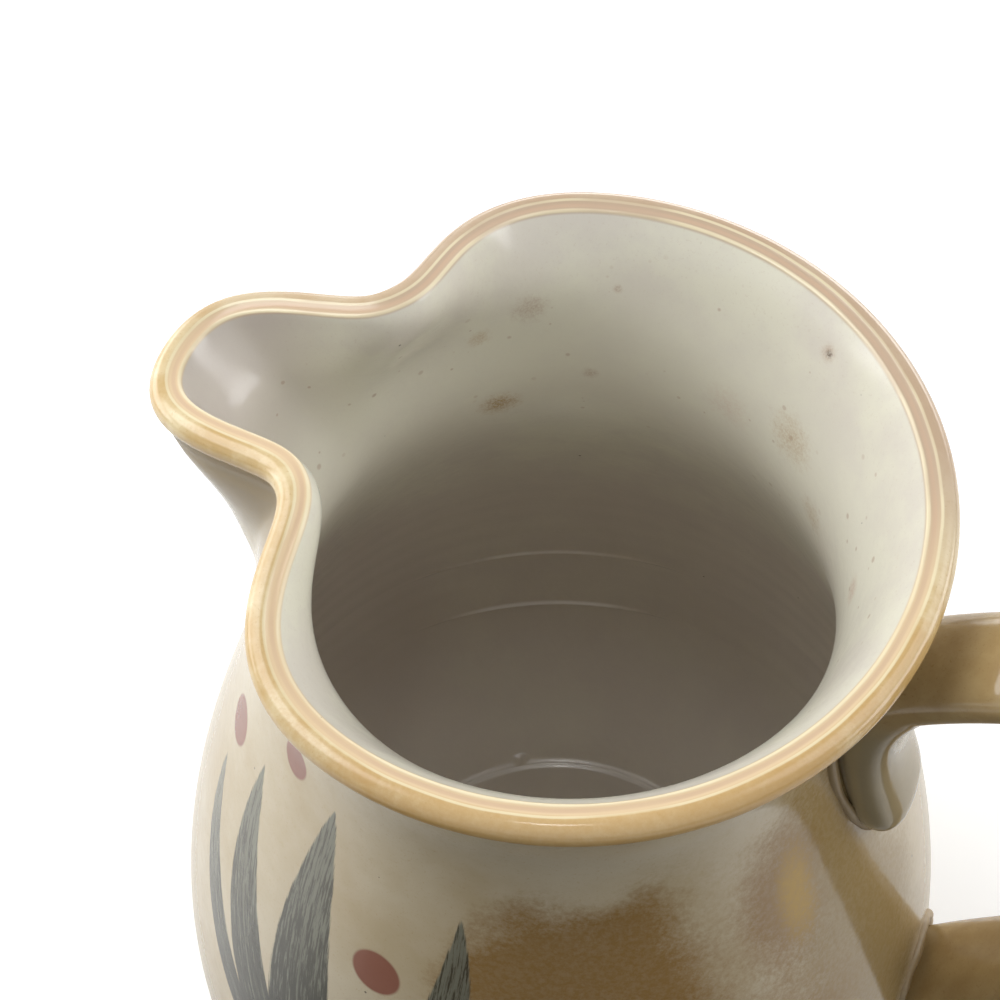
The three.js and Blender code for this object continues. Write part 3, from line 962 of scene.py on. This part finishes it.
# Glazes: thick, thin and fleck colour, scale of the clouds per mm, share of the flecks
CREAM_GLAZE = (CREAM_THICK, CREAM_THIN, CREAM_FLECK, 0.02, 0.45)
LIP_GLAZE = (LIP_THICK, LIP_THIN, LIP_FLECK, 0.06, 0.4)
LINER_GLAZE = (LINER_GREY, LINER_WHITE, LINER_FLECK, 0.05, 0.3)

STAINS = (
    # place in mm, radius, break up, strength, colour
    ((-26.3, 35.9, 151.0), 3.8, 0.7, 0.85, OCHRE),
    ((-21.4, 38.3, 177.0), 3.2, 0.9, 0.4, RUST),
    ((-11.6, 41.7, 159.7), 1.5, 0.6, 0.5, RUST),
    ((-28.2, 32.7, 172.4), 2.2, 0.8, 0.45, OCHRE),
    ((-8.6, 45.5, 179.8), 0.9, 0.4, 0.6, RUST),
    ((25.7, 35.6, 167.7), 5.0, 0.9, 0.45, OCHRE),
    ((13.0, 40.5, 163.0), 4.5, 1.0, 0.25, BLUSH),
    ((33.5, 30.0, 158.0), 3.6, 0.9, 0.4, OCHRE),
    ((43.3, 9.6, 170.9), 2.4, 0.3, 0.6, BLUSH),
    ((28.3, 40.7, 186.1), 1.6, 0.3, 0.6, RUST),
    ((28.5, 40.5, 186.1), 0.7, 0.1, 0.9, IRON_BLACK),
)
LIP_LINES = (
    # distance over the lip, half width, strength, colour: the glaze breaks pale over each edge, cream lines
    # also painted highlight
    (0.35, 0.35, 0.7, LIP_CREAM_AND_HIGHLIGHT),
    (1.45, 0.5, 0.55, LIP_ROSE),
    (2.4, 0.5, 0.75, LIP_CREAM_AND_HIGHLIGHT),
)
CLOUDS = (
    # middle round the jug, height, half width and half height in mm, softness, strength, colour
    # the band beside the handle: tan glaze under a painted dark reflection of the handle
    (103.0, 112.0, 16.0, 52.0, 0.4, 0.9, HANDLE_REFLECTION_BROWN),
    (131.0, 112.0, 16.0, 52.0, 0.5, 0.15, IRON_TAN),
    (70.0, 126.0, 16.0, 22.0, 0.6, 0.6, IRON_TAN),
    (49.0, 126.0, 24.0, 24.0, 0.22, 0.95, IRON_BROWN),
    (62.0, 92.0, 30.0, 26.0, 0.5, 0.7, IRON_BROWN),
    (86.5, 134.5, 9.0, 14.5, 0.45, 0.95, IRON_BROWN),
    (90.0, 133.0, 3.9, 9.0, 0.6, 0.95, IRON_GOLD),
    (-49.0, 186.0, 17.0, 8.0, 0.6, 0.4, IRON_TAN),
    (-89.0, 186.0, 17.0, 8.0, 0.6, 0.4, IRON_TAN),
    (-92.0, 118.0, 26.0, 26.0, 0.5, 0.65, IRON_TAN),
    (-140.0, 132.0, 9.0, 14.0, 0.5, 0.6, IRON_BROWN),
    (-150.0, 84.0, 28.0, 26.0, 0.6, 0.65, IRON_TAN),
    (162.0, 128.0, 18.0, 20.0, 0.5, 0.6, IRON_BROWN),
    (-60.0, 55.0, 34.0, 20.0, 0.5, 0.6, IRON_TAN),
    (30.0, 45.0, 60.0, 18.0, 0.5, 0.6, IRON_TAN),
)
LIP_CLOUD = (49.0, 190.0, 48.0, 14.0, 0.5, 0.8, LIP_HONEY)
BLADES = (
    # root and tip round the jug, root and tip height, bow, half width, all in mm
    (5.0, -38.0, 60.0, 122.0, -7.0, 6.0),
    (6.5, -24.0, 59.0, 139.0, -6.0, 7.5),
    (10.0, 27.0, 60.0, 143.0, 5.0, 7.0),
    (8.0, -2.0, 58.0, 151.0, -4.0, 9.0),
    (11.5, 36.0, 60.0, 118.0, 4.0, 5.0),
)
DOTS = ((13.0, 122.0, 5.0), (-38.0, 132.0, 5.0), (-15.0, 151.0, 4.2))  # place round the jug, height, radius
print(len(STAINS), "stains,", len(CLOUDS), "clouds and", len(BLADES), "blades to place")

# %% [markdown]
# Clouds and brushwork are placed by a distance round the jug and a height, as on an unrolled sheet. The angle
# round the axis, times one middle radius, gives that distance.

# %% Spray and brushwork
BLADES_AT = -112.0  # degrees round the axis from the handle
BRUSH_RADIUS = 60.0
LOADED, SPENT = 0.97, 0.85  # how well the pigment covers at the root and at the tip
RIB_STRENGTH = 0.7
DOT_EDGE = 0.7  # mm
DOT_STRENGTH = 0.9


def round_the_jug(tree):
    """Distance round the jug from the tuft of blades, and height, in mm."""
    place = put(tree, "SeparateXYZ", {"Vector": millimetres(tree)}).outputs
    cos, sin = math.cos(math.radians(BLADES_AT)), math.sin(math.radians(BLADES_AT))
    forward = plus(tree, times(tree, place["X"], cos), times(tree, place["Y"], sin))
    aside = less(tree, times(tree, place["Y"], cos), times(tree, place["X"], sin))
    return times(tree, maths(tree, "ARCTAN2", aside, forward), BRUSH_RADIUS), place["Z"]


def spray(tree, colour, around, height, clouds):
    """Brown clouds, laid over a colour."""
    for *where, strength, iron in clouds:
        cloud = placed(tree, sprayed_cloud, around, height, *where)
        colour = mix(tree, times(tree, cloud["Mask"], strength), colour, iron)
    return colour


def brushwork(tree, colour, around, height):
    """The tuft of blades and its dots, laid over a colour."""
    for blade in BLADES:
        root_height, tip_height = blade[2:4]
        stroke = placed(tree, brushed_blade, around, height, *blade)
        paint = mix(tree, stroke["Streaks"], PIGMENT_PALE, PIGMENT_DARK)
        paint = mix(tree, times(tree, stroke["Rib"], RIB_STRENGTH), paint, PIGMENT_PALE)
        cover = ramp(tree, height, root_height, tip_height, LOADED, SPENT)
        colour = mix(tree, times(tree, stroke["Mask"], cover), colour, paint)
    for across, middle_height, radius in DOTS:
        dx, dz = less(tree, around, across), less(tree, height, middle_height)
        away = maths(tree, "SQRT", plus(tree, times(tree, dx, dx), times(tree, dz, dz)))
        dot = smooth_step(tree, away, radius, radius - DOT_EDGE)
        colour = mix(tree, times(tree, dot, DOT_STRENGTH), colour, DOT_RED)
    return colour


print("spray and brush are ready")

# %% [markdown]
# Layers of colour are mixed one over another, each with its own mask, in the order in which the potter
# laid them: cream glaze, sprayed clouds, brushwork, lip, liner, the lines along the lip, specks, stains.
# Some of them are painted light: painted shade on the wall under the rim, a painted dark reflection of
# the handle on the band beside it, painted light in the throat of the liner, and painted highlights in
# the cream lines along the lip.
# The distance over the lip, kept on the mesh, says where a layer starts and where it is full: below zero
# lies the outside and above zero the inside. On the flat of the lip the two glazes run thin, in peach.

# %% The body's glaze
# painted shade on the wall just under the rim, where the roll overhangs it
UNDER_RIM_SHADE = (-30.0, -11.0, 0.85)  # mm over the lip where a layer starts and where it is full, strength
ROLLED = (-9.0, -6.6, 1.0)
LOW_ROLL = (-2.5, -6.5, 0.7)
PEACHED = (0.2, 0.8, 1.0)
LINED = (2.5, 3.2, 1.0)
DEEP = (60.0, 110.0, 0.65)
IN_SPOUT = (-42.0, -56.0, 0.7)  # the same along X
FAR_SIDE, FAR_LIP, FAR_STRENGTH = (-5.0, 25.0), (-4.5, -2.0), 0.75  # along Y, over the lip
# painted light in the throat of the liner, over the lip in mm, and its strength
THROAT_LIGHT_RISE, THROAT_LIGHT_FALL, THROAT_LIGHT_STRENGTH = (8.0, 24.0), (75.0, 45.0), 0.6
MOUTH_RISE, MOUTH_FALL, FRECKLE_STRENGTH = (6.0, 14.0), (65.0, 40.0), 0.4
BODY_SKIN = (0.22, 0.05, 0.17, 0.12)  # share, size and scale of the specks, height of the peel
FRECKLES = (0.6, 0.24, 0.36, 0.0)
SPECK_STRENGTH = 0.8
LINE_CORE = 0.3  # share of a lip line's half width that is full
LINE_SWAY = 0.5  # mm
OUTER_GLOSS = 0.12  # roughness of the glaze outside
LINER_GLOSS = 0.17
GLOSS_TURN = (2.5, 4.0)  # mm over the lip
GLAZE_IOR = 1.58
SKIN_BUMP = 0.35


def glazed_material(name, roughness):
    """A material with a glossy glaze shader, its tree and its shader."""
    material = bpy.data.materials.new(name)
    material.use_nodes = True
    shader = material.node_tree.nodes["Principled BSDF"]
    shader.inputs["Roughness"].default_value = roughness
    shader.inputs["IOR"].default_value = GLAZE_IOR
    return material, material.node_tree, shader


def laid_on(tree, shader, colour, marks):
    """Gives a glaze shader its colour and the bump of its skin."""
    tree.links.new(colour, shader.inputs["Base Color"])
    bump = put(tree, "Bump", {"Height": marks["Height"], "Strength": SKIN_BUMP, "Distance": MM})
    tree.links.new(bump.outputs["Normal"], shader.inputs["Normal"])


def lip_lines(tree, colour, over):
    """Wavy, broken lines along the lip, laid over a colour; the cream ones are partly painted highlight."""
    wobble = noise(tree, millimetres(tree), scale=0.07, detail=1.0)
    wavy = plus(tree, over, times(tree, less(tree, wobble, 0.5), LINE_SWAY))
    unbroken = ramp(tree, wobble, 0.36, 0.6, to_low=0.45)
    for middle, half, strength, line_colour in LIP_LINES:
        away = maths(tree, "ABSOLUTE", less(tree, wavy, middle))
        on_line = smooth_step(tree, away, half, LINE_CORE * half)
        colour = mix(tree, times(tree, on_line, strength, unbroken), colour, line_colour)
    return colour


def iron_marks(tree, colour, over, marks):
    """Specks, freckles and stains, laid over a colour."""
    colour = mix(tree, times(tree, marks["Specks"], SPECK_STRENGTH), colour, IRON_BLACK)
    freckles = placed(tree, glaze_skin, *FRECKLES)["Specks"]
    drifts = smooth_step(tree, noise(tree, millimetres(tree), scale=0.05, detail=1.0), 0.38, 0.6)
    in_mouth = within(tree, over, MOUTH_RISE, MOUTH_FALL)
    colour = mix(tree, times(tree, freckles, in_mouth, drifts, FRECKLE_STRENGTH), colour, RUST)
    for *where, strength, stain in STAINS:
        spot = placed(tree, rust_stain, *where)["Mask"]
        colour = mix(tree, times(tree, spot, strength), colour, stain)
    return colour


def body_material():
    material, tree, shader = glazed_material("honey_glaze_and_liner", OUTER_GLOSS)
    over = put(tree, "Attribute", attribute_name="over_lip").outputs["Fac"]
    place = put(tree, "SeparateXYZ", {"Vector": millimetres(tree)}).outputs
    around, height = round_the_jug(tree)
    cream, roll, liner = (
        placed(tree, mottled_glaze, *glaze)["Colour"] for glaze in (CREAM_GLAZE, LIP_GLAZE, LINER_GLAZE)
    )
    marks = placed(tree, glaze_skin, *BODY_SKIN)
    # the cream glaze gets a painted shade just under the rim
    colour = tinted(tree, cream, over, UNDER_RIM_SHADE, CREAM_UNDER_RIM_SHADE)
    colour = spray(tree, colour, around, height, CLOUDS)
    colour = brushwork(tree, colour, around, height)
    rolled = spray(tree, roll, around, height, [LIP_CLOUD])
    rolled = tinted(tree, rolled, over, LOW_ROLL, LIP_BROWN)
    colour = tinted(tree, colour, over, ROLLED, rolled)
    colour = tinted(tree, colour, over, PEACHED, LIP_PEACH)
    far_lip = times(tree, smooth_step(tree, place["Y"], *FAR_SIDE), smooth_step(tree, over, *FAR_LIP))
    colour = mix(tree, times(tree, far_lip, FAR_STRENGTH), colour, LIP_MAUVE)
    # painted light: the liner is paler in the throat, below the lip
    lit_throat = within(tree, over, THROAT_LIGHT_RISE, THROAT_LIGHT_FALL)
    lined = mix(tree, times(tree, lit_throat, THROAT_LIGHT_STRENGTH), liner, LINER_PAINTED_LIGHT)
    lined = tinted(tree, lined, place["X"], IN_SPOUT, LINER_MAUVE)
    lined = tinted(tree, lined, over, DEEP, LINER_DEEP)
    colour = tinted(tree, colour, over, LINED, lined)
    colour = lip_lines(tree, colour, over)
    laid_on(tree, shader, iron_marks(tree, colour, over, marks), marks)
    gloss = ramp(tree, over, *GLOSS_TURN, OUTER_GLOSS, LINER_GLOSS)
    tree.links.new(gloss, shader.inputs["Roughness"])
    return material


body.data.materials.append(body_material())
print("body is glazed")

# %% [markdown]
# The handle was dipped in a honey glaze, which pools dark where the slip beads stand. Its root on the neck
# is olive. The groups are placed again, with values of their own.

# %% Glaze of the handle and the beads
HONEY_THICK = (0.4, 0.27, 0.115, 1)
HONEY_THIN = (0.52, 0.385, 0.19, 1)
HONEY_FLECK = (0.33, 0.19, 0.065, 1)
SLIP_THICK = (0.2, 0.13, 0.06, 1)
SLIP_THIN = (0.34, 0.25, 0.13, 1)
ROOT_OLIVE = (0.34, 0.29, 0.18, 1)
HANDLE_GLAZE = (HONEY_THICK, HONEY_THIN, HONEY_FLECK, 0.05, 0.5)
SLIP_GLAZE = (SLIP_THICK, SLIP_THIN, HONEY_FLECK, 0.05, 0.4)
HANDLE_SKIN = (0.2, 0.05, 0.17, 0.12)
HANDLE_GLOSS = 0.12
SLIP_GLOSS = 0.38
NECK_RISE, NECK_FALL = (100.0, 120.0), (172.0, 160.0)  # heights in mm
ROOT_REACH = (76.0, 62.0)  # mm along X
ROOT_STRENGTH = 0.8


def plain_glaze(name, glaze, roughness, root_colour):
    material, tree, shader = glazed_material(name, roughness)
    colour = placed(tree, mottled_glaze, *glaze)["Colour"]
    marks = placed(tree, glaze_skin, *HANDLE_SKIN)
    place = put(tree, "SeparateXYZ", {"Vector": millimetres(tree)}).outputs
    on_neck = within(tree, place["Z"], NECK_RISE, NECK_FALL)
    root = times(tree, smooth_step(tree, place["X"], *ROOT_REACH), on_neck, ROOT_STRENGTH)
    colour = mix(tree, root, colour, root_colour)
    colour = mix(tree, times(tree, marks["Specks"], SPECK_STRENGTH), colour, IRON_BLACK)
    laid_on(tree, shader, colour, marks)
    return material


handle.data.materials.append(plain_glaze("handle_honey_glaze", HANDLE_GLAZE, HANDLE_GLOSS, ROOT_OLIVE))
slip_glaze = plain_glaze("pooled_slip_glaze", SLIP_GLAZE, SLIP_GLOSS, SLIP_THIN)
for bead in beads:
    bead.data.materials.append(slip_glaze)
print("handle and beads are glazed")

# %% [markdown]
# The jug stands on a white floor in an open light tent. The floor is a plain sheet with a white surface;
# rays from the camera see a little glow added, more of it far from the lamps, so that it reads as white
# paper and still keeps the shadow. The side of the tent towards the camera is open and dark, and the glaze
# shows that as a dark front. A dark oval on the floor stands for it, which fades outwards because a hard
# edge would show in the glaze. Rays from the camera don't see the oval.

# %% Floor
FLOOR_SIZE = 40.0
FLOOR_WHITE = (0.9, 0.9, 0.9, 1)
FLOOR_ROUGHNESS = 0.9
GLOW_REACH = (0.3, 1.5)  # m from the jug
GLOW = (0.25, 0.75)  # at these distances
DARK_MIDDLE = (0.06, -0.26)
DARK_REACH = (0.2, 0.24)
DARK_EDGE = (1.25, 0.7)  # shares of the reach where the oval starts and where it is full
DARK_FLOOR = (0.02, 0.02, 0.02, 1)


def floor_material():
    material = bpy.data.materials.new("white_floor")
    material.use_nodes = True
    tree = material.node_tree
    shader = tree.nodes["Principled BSDF"]
    shader.inputs["Roughness"].default_value = FLOOR_ROUGHNESS
    shader.inputs["Emission Color"].default_value = (1, 1, 1, 1)
    seen = put(tree, "LightPath").outputs["Is Camera Ray"]
    position = put(tree, "NewGeometry").outputs["Position"]
    place = put(tree, "SeparateXYZ", {"Vector": position}).outputs
    squares = []
    for axis, middle, reach in zip("XY", DARK_MIDDLE, DARK_REACH):
        share = maths(tree, "DIVIDE", less(tree, place[axis], middle), reach)
        squares.append(times(tree, share, share))
    oval = smooth_step(tree, maths(tree, "SQRT", plus(tree, *squares)), *DARK_EDGE)
    dark = times(tree, oval, less(tree, 1.0, seen))
    tree.links.new(mix(tree, dark, FLOOR_WHITE, DARK_FLOOR), shader.inputs["Base Color"])
    away = put(tree, "VectorMath", {0: position}, operation="LENGTH").outputs["Value"]
    glow = times(tree, seen, ramp(tree, away, *GLOW_REACH, *GLOW))
    tree.links.new(glow, shader.inputs["Emission Strength"])
    return material


half = FLOOR_SIZE / 2
sheet = bpy.data.meshes.new("floor")
sheet.from_pydata([(-half, -half, 0), (half, -half, 0), (half, half, 0), (-half, half, 0)], [], [range(4)])
sheet.materials.append(floor_material())
floor = standing("floor", sheet)
print("floor is", FLOOR_SIZE, "m wide")

# %% [markdown]
# A light tent is white all round, brighter where its lamps stand. The world gives the even white, and five
# large lamps stand for the lit walls: left, right, low at the back, and two above. A lamp behind cloth is
# bright in its middle and fades outwards, so the place on the lamp drives its strength; a plain area lamp
# would show as a hard oblong in the glaze. A small lamp overhead gives the bright lines on the floor inside.

# %% Light
WORLD_FILL = 0.2
LAMP_CORE = 0.28  # share of a lamp's width, from its middle, at full strength
LAMPS_FACE = (0, 0, 0.13)  # the point that all lamps face, in m
LAMPS = (
    # name, place in m, size in m, radiance
    ("left_wall", (-0.85, 0.1, 0.3), (1.2, 0.6), 3.3),
    ("right_wall", (0.85, 0.3, 0.3), (0.95, 0.54), 3.1),
    ("back_wall", (0.0, 0.95, 0.22), (1.6, 0.46), 3.6),
    ("left_top", (-0.66, -0.12, 0.95), (1.2, 1.2), 3.5),
    ("right_top", (0.66, 0.3, 0.95), (1.2, 1.2), 1.8),
    ("ceiling", (0.05, -0.17, 1.25), (0.17, 0.17), 9.0),
)


def soft_lamp(name, place, size, radiance):
    lamp = bpy.data.lights.new(name, "AREA")
    lamp.shape = "RECTANGLE"
    lamp.size, lamp.size_y = size
    lamp.energy = radiance * math.pi * size[0] * size[1]
    lamp.use_nodes = True
    tree = lamp.node_tree
    on_lamp = put(tree, "NewGeometry").outputs["Parametric"]
    off = put(tree, "VectorMath", {0: on_lamp, 1: (0.5, 0.5, 0)}, operation="DISTANCE").outputs["Value"]
    tree.links.new(smooth_step(tree, off, 0.5, LAMP_CORE), tree.nodes["Emission"].inputs["Strength"])
    made = standing(name, lamp)
    made.location = place
    made.rotation_euler = (Vector(LAMPS_FACE) - Vector(place)).to_track_quat("-Z", "Y").to_euler()
    made.visible_camera = False


for lamp_words in LAMPS:
    soft_lamp(*lamp_words)

world = bpy.data.worlds.new("tent")
world.use_nodes = True
bpy.context.scene.world = world
sky = world.node_tree
backdrop = sky.nodes["Background"]
backdrop.inputs["Color"].default_value = (1, 1, 1, 1)
path = put(sky, "LightPath").outputs
seen_plainly = maths(sky, "MAXIMUM", path["Is Camera Ray"], path["Is Glossy Ray"])
seen_plainly = maths(sky, "MAXIMUM", seen_plainly, path["Is Transmission Ray"])
level = ramp(sky, seen_plainly, 0.0, 1.0, to_low=WORLD_FILL)
sky.links.new(level, backdrop.inputs["Strength"])
print(len(LAMPS), "lamps and the world")
